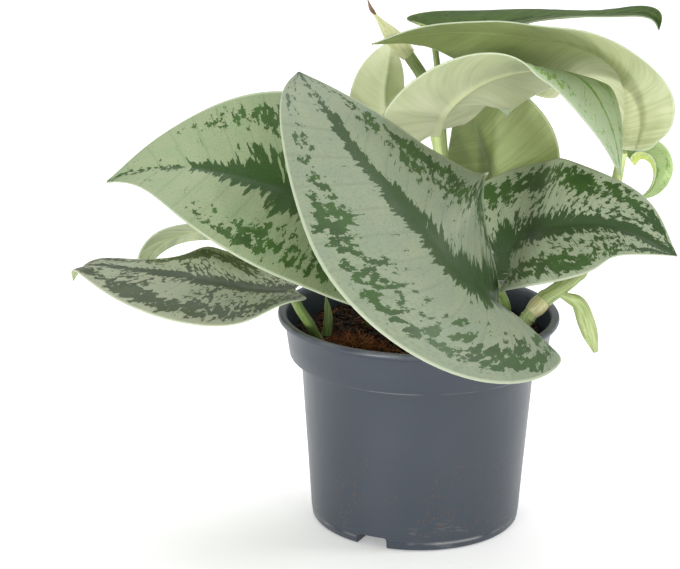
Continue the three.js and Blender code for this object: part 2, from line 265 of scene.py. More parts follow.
for angle in CHANNEL_ANGLES:
    hump = radial_block(angle, CHANNEL_INNER_END - POT_WALL, 44.2, CHANNEL_WIDTH + 2 * POT_WALL, 0.9,
                        CHANNEL_HEIGHT + POT_WALL, 1.8)
    apply_boolean(pot, hump, "UNION")
for angle in CHANNEL_ANGLES:
    channel = radial_block(angle, CHANNEL_INNER_END, 60, CHANNEL_WIDTH, -2, CHANNEL_HEIGHT, 1.1)
    apply_boolean(pot, channel, "DIFFERENCE")
    turn = math.radians(angle)
    bpy.ops.object.select_all(action="DESELECT")
    bpy.ops.mesh.primitive_cylinder_add(
        vertices=32, radius=DRAIN_HOLE_RADIUS * MM, depth=12 * MM,
        location=(DRAIN_HOLE_PLACE * math.cos(turn) * MM, DRAIN_HOLE_PLACE * math.sin(turn) * MM, 6 * MM))
    bpy.ops.object.transform_apply(location=True, rotation=True, scale=True)
    apply_boolean(pot, bpy.context.object, "DIFFERENCE")
bpy.ops.object.select_all(action="DESELECT")
pot.select_set(True)
bpy.context.view_layer.objects.active = pot
bpy.ops.object.shade_smooth_by_angle(angle=math.radians(32))
print("pot with channels:", len(pot.data.polygons), "faces")

# %% [markdown]
# Polypropylene with a little carbon black and blue is a flat slate grey. Straight from the mould it is
# smooth but not quite level, so its highlights are soft and a little wavy. Handling leaves pale scuffs
# round the foot and crumbs of dry soil cling to the body. All of it is read from the place on the pot.
# %% Moulded polypropylene
# IOR 1.49 and roughness about 0.36 give the broad upright highlights of a shallow mould grain.
pot_plastic, tree, shader = new_finish("moulded polypropylene, slate grey")
place = node(tree, "TexCoord").outputs["Object"]
height_mm = math_node(tree, "MULTIPLY", node(tree, "SeparateXYZ", {0: place}).outputs[2], 1000.0)
# Flow of the plastic leaves soft clouds 30 mm wide.
clouds = node(tree, "TexNoise", {"Vector": place, "Scale": 33.0, "Detail": 3.0}).outputs[0]
# Scuffs are short level scratches, 8 mm long and 1 mm high.
stretched = node(tree, "Mapping", {"Vector": place, "Scale": (130.0, 130.0, 900.0)}).outputs[0]
scratches = node(tree, "TexNoise", {"Vector": stretched, "Scale": 1.0, "Detail": 4.0,
                                    "Roughness": 0.7}).outputs[0]
rubbed = node(tree, "TexNoise", {"Vector": place, "Scale": 55.0, "Detail": 2.0}).outputs[0]
# Dirt specks are about 1 mm across.
specks = node(tree, "TexNoise", {"Vector": place, "Scale": 620.0, "Detail": 3.0,
                                 "Roughness": 0.7}).outputs[0]


def near_height(level, reach):
    """1 at a height on the pot in mm, falling to 0 a reach away."""
    away = math_node(tree, "ABSOLUTE", math_node(tree, "SUBTRACT", height_mm, float(level)))
    return math_node(tree, "SUBTRACT", 1.0, sharp(tree, away, 0.0, float(reach)))


tone = mix_colour(tree, clouds, linear("2f363f"), linear("363d47"))
# Heights on the pot in mm where it gets rubbed.
FOOT, FOOT_LINE, COLLAR_EDGE, LIP_EDGE = 5, 3.4, 73.2, 91.6
scuffed = math_node(tree, "MULTIPLY", sharp(tree, scratches, 0.54, 0.68), sharp(tree, rubbed, 0.46, 0.62))
foot_scuffs = math_node(tree, "MULTIPLY", near_height(FOOT, 12), scuffed)
line_wear = math_node(tree, "MULTIPLY", near_height(FOOT_LINE, 1.0), sharp(tree, rubbed, 0.4, 0.62))
lip_wear = math_node(tree, "MULTIPLY", near_height(LIP_EDGE, 1.2), sharp(tree, rubbed, 0.35, 0.7))
collar_wear = math_node(tree, "MULTIPLY", near_height(COLLAR_EDGE, 0.8), sharp(tree, rubbed, 0.42, 0.7))
wear = math_node(tree, "MAXIMUM", math_node(tree, "MULTIPLY", foot_scuffs, 0.45), line_wear)
wear = math_node(tree, "MAXIMUM", wear, math_node(tree, "MULTIPLY", lip_wear, 0.5))
wear = math_node(tree, "MAXIMUM", wear, math_node(tree, "MULTIPLY", collar_wear, 0.5))
tone = mix_colour(tree, math_node(tree, "MULTIPLY", wear, 0.55), tone, linear("a9abab"))
low_share = math_node(tree, "SUBTRACT", 1.0, sharp(tree, height_mm, 4.0, 60.0))
dirt_zone = math_node(tree, "MULTIPLY", low_share, sharp(tree, rubbed, 0.5, 0.62))
dirt = math_node(tree, "MULTIPLY", sharp(tree, specks, 0.61, 0.635), dirt_zone)
tone = mix_colour(tree, dirt, tone, linear("5b3e2a"))
tree.links.new(tone, shader.inputs["Base Color"])
plain = math_node(tree, "MULTIPLY_ADD", clouds, 0.12, 0.3)
roughness = math_node(tree, "MULTIPLY_ADD", math_node(tree, "MAXIMUM", wear, dirt), 0.3, plain)
tree.links.new(roughness, shader.inputs["Roughness"])
shader.inputs["IOR"].default_value = 1.49
grain = node(tree, "TexNoise", {"Vector": place, "Scale": 1500.0, "Detail": 1.0}).outputs[0]
height = math_node(tree, "MULTIPLY_ADD", clouds, 4.0, math_node(tree, "MULTIPLY", grain, 0.25))
height = math_node(tree, "MULTIPLY_ADD", dirt, 1.5, height)
bump = node(tree, "Bump", {"Height": height, "Strength": 0.3, "Distance": 0.0004})
tree.links.new(bump.outputs[0], shader.inputs["Normal"])
pot.data.materials.clear()
pot.data.materials.append(pot_plastic)
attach(pot, "root")
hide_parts("nursery_pot")
print("pot finished")

# %% [markdown]
# ## Potting mix
# The mix is dark peat with coir, the red-brown husk fibre, heaped up where a cutting was firmed in. Its
# body is walked like the pot, ring by ring to the middle, and its top is then lifted by noise. Crumbs and
# fibres are each modelled once, with a few dozen faces, and scattered as copies in one mesh.
# %% Body of the mix
SOIL_LEVEL = 82
MOUND_PLACE, MOUND_HEIGHT, MOUND_SPREAD = (-28, -34), 7, 14


def soil_height(x, y):
    """Height of the mix in mm, with clods 12 mm and 4 mm wide on top of the heap."""
    away = math.hypot(x - MOUND_PLACE[0], y - MOUND_PLACE[1]) / MOUND_SPREAD
    heap = MOUND_HEIGHT * math.exp(-away * away)
    clods = 1.3 * noise.noise(Vector((x / 12, y / 12, 2))) + 0.8 * noise.noise(Vector((x / 4, y / 4, 7)))
    return SOIL_LEVEL + 0.7 * math.sin(x * 0.21) * math.cos(y * 0.17) + heap - 0.8 + clods


rings = [(radius, SOIL_LEVEL) for radius in np.linspace(53.0, 1.5, 34)]
soil = walk_profile((43.0, 7.2), [(48.0, 73.2), (52.9, 77.5), (53.2, 79.5)] + rings, sides=128)
soil.name = "potting_mix_body"
for vertex in soil.data.vertices:
    x, y, z = vertex.co / MM
    if z > SOIL_LEVEL - 0.5:
        vertex.co.z = soil_height(x, y) * MM
bpy.ops.object.shade_smooth()
print("mix body:", len(soil.data.polygons), "faces")


# %% Crumbs and fibres
def scatter(name, pattern, placings):
    """One mesh of many copies of a pattern object, each with its own size, turn and place in mm."""
    points = np.array([v.co for v in pattern.data.vertices])
    faces = [tuple(p.vertices) for p in pattern.data.polygons]
    all_points, all_faces = [], []
    for count, (matrix, bend) in enumerate(placings):
        moved = points.copy()
        moved[:, 0] += bend[0] * moved[:, 2] ** 2
        moved[:, 1] += bend[1] * moved[:, 2] ** 3
        moved = moved @ np.array(matrix.to_3x3()).T + np.array(matrix.translation)
        all_points.append(moved * MM)
        all_faces += [tuple(i + count * len(points) for i in face) for face in faces]
    mesh = bpy.data.meshes.new(name)
    mesh.from_pydata(np.vstack(all_points).tolist(), [], all_faces)
    heap = bpy.data.objects.new(name, mesh)
    bpy.context.collection.objects.link(heap)
    bpy.data.objects.remove(pattern)
    return heap


def any_turn():
    return (Matrix.Rotation(random.uniform(0, math.tau), 4, "Z")
            @ Matrix.Rotation(random.uniform(0, math.pi), 4, "X"))


bpy.ops.object.select_all(action="DESELECT")
bpy.ops.mesh.primitive_ico_sphere_add(subdivisions=1, radius=1)
crumb = bpy.context.object
for vertex in crumb.data.vertices:
    vertex.co *= random.uniform(0.75, 1.2)
placings = []
for _ in range(2600):
    spread, turn = 51.5 * math.sqrt(random.random()), random.uniform(0, math.tau)
    x, y = spread * math.cos(turn), spread * math.sin(turn)
    size = 0.45 + 1.3 * random.random() ** 3
    stretch = Matrix.Diagonal((size, size * random.uniform(0.5, 1), size * random.uniform(0.5, 1), 1))
    lift = Matrix.Translation((x, y, soil_height(x, y) + size * 0.35))
    placings.append((lift @ any_turn() @ stretch, (0, 0)))
crumbs = scatter("peat_crumbs", crumb, placings)
print("crumbs:", len(placings))

bpy.ops.object.select_all(action="DESELECT")
bpy.ops.mesh.primitive_cylinder_add(vertices=3, radius=1, depth=2)
strand = bpy.context.object
bpy.ops.object.mode_set(mode="EDIT")
for ring in range(1, 6):
    bpy.ops.mesh.select_all(action="SELECT")
    bpy.ops.mesh.bisect(plane_co=(0, 0, -1 + ring / 3), plane_no=(0, 0, 1))
bpy.ops.object.mode_set(mode="OBJECT")
placings = []
for count in range(900):
    on_mound = count < 640
    if on_mound:
        x = random.gauss(MOUND_PLACE[0], MOUND_SPREAD * 0.62)
        y = random.gauss(MOUND_PLACE[1], MOUND_SPREAD * 0.5)
    else:
        spread, turn = 50 * math.sqrt(random.random()), random.uniform(0, math.tau)
        x, y = spread * math.cos(turn), spread * math.sin(turn)
    if math.hypot(x, y) > 50:
        continue
    half_length, thickness = random.uniform(1.5, 5.5), random.uniform(0.09, 0.22)
    rise = random.gauss(0, 26 if on_mound else 14)
    heading = Matrix.Rotation(random.uniform(0, math.tau), 4, "Z")
    lie = heading @ Matrix.Rotation(math.radians(90 - rise), 4, "X")
    shape = Matrix.Diagonal((thickness, thickness, half_length, 1))
    lift = Matrix.Translation((x, y, soil_height(x, y) + random.uniform(0.1, 1.3)))
    bend = (random.gauss(0, 0.9) / thickness, random.gauss(0, 0.6) / thickness)
    placings.append((lift @ lie @ shape, bend))
fibres = scatter("coir_fibres", strand, placings)
print("fibres:", len(placings))


# %% Peat and coir finishes
def soil_finish(name, tones, grain_mm, roughness=0.95):
    """Matt organic matter, IOR about 1.4 when dry: no gloss, and tones that change from grain to grain."""
    material, tree, shader = new_finish(name)
    place = node(tree, "TexCoord").outputs["Object"]
    grain = node(tree, "TexNoise", {"Vector": place, "Scale": 1000.0 / grain_mm, "Detail": 4.0,
                                    "Roughness": 0.7}).outputs[0]
    spread = node(tree, "ValToRGB", {0: grain})
    points = spread.color_ramp.elements
    while len(points) < len(tones):
        points.new(0.5)
    for index, (point, tone) in enumerate(zip(points, tones)):
        point.position = 0.34 + 0.32 * index / (len(tones) - 1)
        point.color = linear(tone)
    tree.links.new(spread.outputs[0], shader.inputs["Base Color"])
    shader.inputs["Roughness"].default_value = roughness
    shader.inputs["IOR"].default_value = 1.4
    shader.inputs["Specular IOR Level"].default_value = 0.2
    bump = node(tree, "Bump", {"Height": grain, "Strength": 0.8, "Distance": 0.0006})
    tree.links.new(bump.outputs[0], shader.inputs["Normal"])
    return material


soil.data.materials.append(soil_finish("damp peat", ("0c0908", "1a110d", "2b1c14"), 2.5))
crumbs.data.materials.append(soil_finish("peat crumbs", ("0e0a08", "1e140f", "35221a", "5a3d2a"), 5))
fibres.data.materials.append(soil_finish("coir fibre", ("351c10", "6b3d23", "94623c", "482615"), 6, 0.75))
for heap in (soil, crumbs, fibres):
    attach(heap, "root")
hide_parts("potting_mix")
print("potting mix finished")

# %% [markdown]
# ## The leaves
# Every leaf grows flat from one plan: a heart with a drawn-out tip, told by its length, its width and how far
# its lobes reach back. Then it is bent: the midrib follows a short list of points, each half rises or droops
# from it by a fold angle, and curls a little more with every millimetre. So the blade starts as a flat grid,
# whose columns run from the midrib to the margins like the side veins do, and each grid point is carried to
# its place by that rule. The lists are the same ones that the frame was built from.
# %% The leaves' dimensions in millimetres and degrees
LEAVES = {
    "front_leaf": dict(
        midrib=[(31, -44, 109), (8, -71, 136), (-9, -66, 157), (-27, -59, 176), (-43, -47, 194),
                (-49, -36, 200), (-51, -24, 200.5)],
        width=(112, 101), lobe=(0.085, -0.06), faces=[(0, -1, 0.25)], roll=[48, 34, 34, 32],
        fold=([49, 14, 6], [4, -28, -9]), cup=(-0.41, 0.3)),
    "left_leaf": dict(
        midrib=[(-17, -10, 125), (-38, -19, 142), (-58, -29, 154), (-89, -32, 162), (-112, -24, 160),
                (-130, -22, 153)],
        width=88, lobe=(0.18, 0.18), faces=[(0, -0.6, 1)], roll=[-9, -15, -15, 7],
        fold=([12, 8, 12], [12, 16, 8]), cup=(-0.29, -0.25)),
    "lower_left_leaf": dict(
        midrib=[(-53, -25, 108), (-69, -24, 108), (-93, -27, 114), (-118, -20, 115), (-146, -2, 111),
                (-147, -1, 104)],
        width=68, lobe=(0.12, 0.12), faces=[(0, -0.35, 1)], roll=[21, 8, 17, 11],
        fold=([11, -3, 1], [9, -1, 1]), cup=(-0.33, -0.33)),
    "arching_leaf": dict(
        midrib=[(-65, 20, 119), (-90, 21, 121), (-110, 24, 115), (-119, 23, 104), (-120, 19, 85)],
        width=48, lobe=(0.12, 0.12), faces=[(0, 0.2, 1)], roll=[10, 12, 7, 3],
        fold=([0, 3, 4], [0, 0, 5]), cup=(-0.2, -0.2)),
    "right_leaf": dict(
        midrib=[(31, -5, 109), (39, -11, 126), (56, -25, 137), (81, -25, 137), (103, -40, 129)],
        width=75, lobe=(0.1, -0.18), faces=[(0, -0.7, 1)], roll=[0, 0, 0, 5],
        fold=([14, 10, 14], [13, 14, 10]), cup=(-0.29, -0.27)),
    "upper_centre_leaf": dict(
        midrib=[(6, 5, 169), (10, -6, 182), (24, -9, 194), (45, -6, 199), (64, -14, 198), (73, -23, 186),
                (80, -20, 168), (81, -20, 157)],
        width=82, lobe=(0.14, 0.12),
        faces=[(-0.68, 0.43, 0.51), (-0.3, 0.4, 0.8), (0, 0.1, 1), (0.6, -0.3, 0.6), (0.76, -0.54, 0.24)],
        roll=[-4, -6, 1, 1], fold=([5, -9, 3], [10, 5, -4]), cup=(-0.3, -0.26)),
    "upper_right_leaf": dict(
        midrib=[(84, 2, 162), (87, 10, 175), (83, 7, 195), (69, 7, 205), (49, 11, 208), (23, 10, 211),
                (-2, 5, 211), (-22, 6, 206)],
        width=92, lobe=(0.06, -0.03),
        faces=[(0.72, 0.68, 0), (0.42, 0.6, 0.48), (0.1, 0.5, 0.85), (-0.1, 0.4, 0.9)],
        roll=[-4, -14, -5, -5], fold=([-10, -2, 5], [32, -14, -4]), cup=(-0.39, -0.29)),
    "top_leaf": dict(
        midrib=[(6, 53, 202), (26, 53, 204), (52, 50, 209), (76, 43, 212), (99, 33, 215), (103, 31, 213),
                (100.5, 30, 208)],
        width=66, lobe=(0.16, 0.16), faces=[(0, 0, 1)], roll=[6, 4, 0, 7],
        fold=([8, 0, 4], [10, 17, 12, 4]), cup=(-0.4, -0.4)),
    "small_pale_leaf": dict(
        midrib=[(-12, 24, 160), (-16, 27, 179), (-14, 33, 192), (-13, 44, 200)],
        width=34, lobe=(0.12, 0.12), faces=[(0, 1, 0)], roll=[34, 34, 14],
        fold=([13, 19, 6], [9, 11, 11]), cup=(-0.38, -0.4)),
    "back_leaf": dict(
        midrib=[(36, 35, 132), (31, 43, 150), (26, 49.5, 162), (22, 59, 173), (20, 71, 181)],
        width=70, lobe=(0.13, 0.13), faces=[(0, 1, 0.1), (0, 1, 0.4)], roll=[-30, -33, -32, -31],
        fold=([9, 10, 11], [10, 16, 14]), cup=(-0.3, -0.27)),
    "young_curled_leaf": dict(
        midrib=[(88.5, 6.5, 157), (92, 7, 159.5), (96.5, 5, 158), (98.5, 2, 152.5), (96, -1, 146),
                (91, -3, 142.5)],
        width=17, lobe=(0.05, 0.05), faces=[(-0.2, -0.5, 1), (0.3, -0.9, 0.5), (0.2, -1, 0), (0.2, -1, -0.3)],
        roll=[0, 0, 0], fold=([15, 12, 10], [60, 66, 50]), cup=(1.2, 1.2)),
}
print("leaves:", ", ".join(LEAVES))


# %% Curves through points
def curve_through(points, steps=40):
    """Points along the smooth (centripetal Catmull-Rom) curve through a list, as an array."""
    p = np.array(points, float)
    p = np.vstack([2 * p[0] - p[1], p, 2 * p[-1] - p[-2]])
    pieces = []
    for i in range(1, len(p) - 2):
        a, b, c, d = p[i - 1:i + 3]
        ab, bc, cd = (max(np.linalg.norm(q) ** 0.5, 1e-4) for q in (b - a, c - b, d - c))
        leave = bc * ((b - a) / ab - (c - a) / (ab + bc) + (c - b) / bc)
        arrive = bc * ((c - b) / bc - (d - b) / (bc + cd) + (d - c) / cd)
        w = np.linspace(0, 1, steps, endpoint=i == len(p) - 3)[:, None]
        pieces.append(b + leave * w + (3 * (c - b) - 2 * leave - arrive) * w ** 2
                      + (2 * (b - c) + leave + arrive) * w ** 3)
    return np.vstack(pieces)


class Line:
    """A curve that is read by the distance travelled along it."""

    def __init__(self, points):
        self.points = curve_through(points)
        travelled = np.cumsum(np.linalg.norm(np.diff(self.points, axis=0), axis=1))
        self.travelled = np.concatenate([[0], travelled])
        self.length = self.travelled[-1]

    def at(self, distance):
        return np.stack([np.interp(distance, self.travelled, self.points[:, k]) for k in range(3)], -1)


def along(values, share):
    """A value along a leaf, read smoothly from a short list spread evenly from base to tip."""
    values = np.array(values, float)
    place = np.clip(share, 0, 1) * (len(values) - 1)
    first = np.minimum(place.astype(int), max(len(values) - 2, 0))
    w = place - first
    a, b, c, d = (values[np.clip(first + k, 0, len(values) - 1)] for k in (-1, 0, 1, 2))
    return 0.5 * (2 * b + (c - a) * w + (2 * a - 5 * b + 4 * c - d) * w ** 2 + (3 * b - a - 3 * c + d) * w ** 3)


print("length of the front leaf:", round(Line(LEAVES["front_leaf"]["midrib"]).length), "mm")

# %% The bent leaf surface
LOBE_PLACE = 0.07


def unit(vectors):
    return vectors / np.linalg.norm(vectors, axis=-1, keepdims=True)


def leaf_surface(leaf, u, t, side):
    """Places, upward normals, flat coordinates and half widths for points of the blade.

    u goes round the margin from base to tip, t from the midrib to the margin, and side is +1 or -1.
    """
    line = Line(leaf["midrib"])
    half = (side > 0).astype(int)
    lobe = np.array(leaf["lobe"])[half]
    back = lobe * (u / LOBE_PLACE) * np.exp(1 - u / LOBE_PLACE)
    margin_x = line.length * (u - back)
    half_width = np.broadcast_to(leaf["width"], 2)[half] / 2
    margin_y = half_width * 2.751 * np.sqrt(u) * (1 - u) ** 1.15
    start = line.length * u ** 1.5
    distance = start + (margin_x - start) * t
    out = margin_y * t
    reach = 0.13 * line.length
    inside = np.clip(distance, 0, line.length)
    direction = unit(line.at(np.clip(inside + reach, reach, line.length))
                     - line.at(np.clip(inside - reach, 0, line.length - reach)))
    place = line.at(inside) + direction * np.minimum(distance, 0)[:, None]
    share = distance / line.length
    faces = np.array(leaf["faces"], float)
    up = np.stack([along(faces[:, k], share) for k in range(3)], -1)
    up = unit(up - (up * direction).sum(-1, keepdims=True) * direction)
    across = np.cross(direction, up)
    turn = np.radians(along(leaf["roll"], share))[:, None]
    up, across = up * np.cos(turn) + across * np.sin(turn), across * np.cos(turn) - up * np.sin(turn)
    fold = np.where(half == 1, along(leaf["fold"][1], share), along(leaf["fold"][0], share))
    first = np.radians(fold)
    bend = np.radians(np.array(leaf["cup"]))[half]
    last = first + bend * out
    spread = (np.sin(last) - np.sin(first)) / bend
    rise = (np.cos(first) - np.cos(last)) / bend
    place = place + across * (side * spread)[:, None] + up * rise[:, None]
    normal = up * np.cos(last)[:, None] - across * (side * np.sin(last))[:, None]
    return place, normal, np.stack([distance, side * out], -1)


def ease(place, u):
    """Evens out the blade from base to tip, where a tight bend of the midrib would crowd the cells."""
    rows = place.reshape(CELLS_ALONG + 1, CELLS_ACROSS + 1, 3)
    share = 0.5 * np.clip((u.reshape(rows.shape[:2]) - 0.04) / 0.08, 0, 1)[1:-1, :, None]
    for _ in range(EASING_PASSES):
        rows[1:-1] += share * ((rows[:-2] + rows[2:]) / 2 - rows[1:-1])
    return rows.reshape(-1, 3)


print("leaf rule ready")

# %% [markdown]
# A real blade is hardly half a millimetre thick, with a groove over the midrib and a rounded rib under it.
# Its side veins lie a little sunken, so the skin between them swells. Solidify gives the flat grid its
# thickness and turns the second skin into a finish of its own, the underside. The relief is then moved
# into both skins by hand, so that it is real shape and not only shading.
# %% A blade from a grid
BLADE_THICKNESS = 0.55
CELLS_ACROSS = 44
CELLS_ALONG = 72
VEIN_PAIRS = 15
EASING_PASSES = 16


def make_blade(name, leaf, finishes, wave=0.9, vein_depth=0.16):
    """One leaf blade: top skin with the first finish and underside with the second."""
    bpy.ops.object.select_all(action="DESELECT")
    bpy.ops.mesh.primitive_grid_add(x_subdivisions=CELLS_ACROSS, y_subdivisions=CELLS_ALONG, size=2)
    blade = bpy.context.object
    blade.name = "blade_" + name
    mesh = blade.data
    grid = np.zeros(len(mesh.vertices) * 3)
    mesh.vertices.foreach_get("co", grid)
    grid = grid.reshape(-1, 3)
    side = np.where(grid[:, 0] < 0, -1.0, 1.0)
    t = 1 - (1 - np.abs(grid[:, 0])) ** 1.15
    u = 0.0015 + 0.9955 * (0.5 + grid[:, 1] / 2) ** 1.35
    place, normal, flat = leaf_surface(leaf, u, t, side)
    place = ease(place, u)

    seed = sum(map(ord, name))
    ripple = np.array([noise.noise(Vector((f[0] / 26, f[1] / 26, seed))) for f in flat])
    from_midrib = np.abs(flat[:, 1])
    vein_rows = np.cos(2 * np.pi * VEIN_PAIRS * (u + 0.02 * side))
    veins = vein_rows * np.clip(t * 6, 0, 1) * np.clip((1 - t) * 5, 0, 1)
    groove = np.exp(-(from_midrib / 1.5) ** 2) * (1 - u)
    relief = wave * ripple * t + vein_depth * veins - 0.6 * groove
    place = place + normal * relief[:, None]
    mesh.vertices.foreach_set("co", (place * MM).ravel())

    corner = np.zeros(len(mesh.loops), int)
    mesh.loops.foreach_get("vertex_index", corner)
    vein_map = np.stack([0.5 + 0.5 * side * t, u], -1)
    mesh.uv_layers[0].name = "vein"
    mesh.uv_layers["vein"].data.foreach_set("uv", vein_map[corner].ravel())
    mesh.uv_layers.new(name="flat")
    mesh.uv_layers["flat"].data.foreach_set("uv", (flat / 100)[corner].ravel())

    for finish in finishes:
        mesh.materials.append(finish)
    solidify = blade.modifiers.new("thickness", "SOLIDIFY")
    solidify.thickness = BLADE_THICKNESS * MM
    solidify.offset = -1
    solidify.material_offset = 1
    solidify.material_offset_rim = 0
    bpy.ops.object.modifier_apply(modifier=solidify.name)
    raise_underside(blade, np.tile(normal, (2, 1)), np.tile(from_midrib, 2), np.tile(u, 2), len(u))
    bpy.ops.object.shade_smooth()
    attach(blade, "root")
    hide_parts(name)
    return blade


def raise_underside(blade, normal, from_midrib, u, top_count):
    """Grows the rounded midrib out of the underside, thick at the petiole and thin at the tip."""
    mesh = blade.data
    place = np.zeros(len(mesh.vertices) * 3)
    mesh.vertices.foreach_get("co", place)
    place = place.reshape(-1, 3)
    rib_width = 0.7 + 1.3 * (1 - u)
    rib = 1.7 * (1 - u) ** 1.5 * np.exp(-(from_midrib / rib_width) ** 2)
    place[top_count:] -= (normal * rib[:, None] * MM)[top_count:]
    mesh.vertices.foreach_set("co", place.ravel())
    mesh.update()


print("blade maker ready")

# %% [markdown]
# ## Leaf finishes
# The upper skin is a waxy green with patches of silver, where air lies between the top skin and the green
# layer under it. The silver stops along the side veins, so the patches are ragged and drawn out along them.
# A pattern on the flat picture of the leaf would ignore the veins. This one is read in vein coordinates
# instead: one runs from midrib to margin along a vein, and the other counts the veins from base to tip.
# %% Vein coordinates for a finish
def vein_places(tree):
    """Sockets for a leaf finish: across, base to tip, share of the way to the margin, mm from the midrib."""
    vein = node(tree, "SeparateXYZ", {0: node(tree, "UVMap", uv_map="vein").outputs[0]})
    flat = node(tree, "SeparateXYZ", {0: node(tree, "UVMap", uv_map="flat").outputs[0]})
    to_margin = math_node(tree, "ABSOLUTE", math_node(tree, "MULTIPLY_ADD", vein.outputs[0], 2.0, -1.0))
    from_midrib = math_node(tree, "ABSOLUTE", math_node(tree, "MULTIPLY", flat.outputs[1], 100.0))
    return vein.outputs[0], vein.outputs[1], to_margin, from_midrib


def vein_noise(tree, across, along_leaf, cells_across, cells_along, seed, detail=3.0, roughness=0.6):
    """Noise whose cells are counted across the whole blade and along its length."""
    place = node(tree, "CombineXYZ", {0: math_node(tree, "MULTIPLY", across, cells_across),
                                      1: math_node(tree, "MULTIPLY", along_leaf, cells_along), 2: float(seed)})
    grain = node(tree, "TexNoise", {"Vector": place.outputs[0], "Scale": 1.0, "Detail": detail,
                                    "Roughness": roughness})
    return grain.outputs[0]


def ramp(tree, value, stops):
    """A number that follows stops of (place, height) as the value goes from 0 to 1."""
    curve = node(tree, "ValToRGB", {0: value})
    points = curve.color_ramp.elements
    while len(points) < len(stops):
        points.new(0.5)
    for point, (place, height) in zip(points, stops):
        point.position = place
        point.color = (height, height, height, 1)
    return curve.outputs[0]


print("pattern helpers ready")


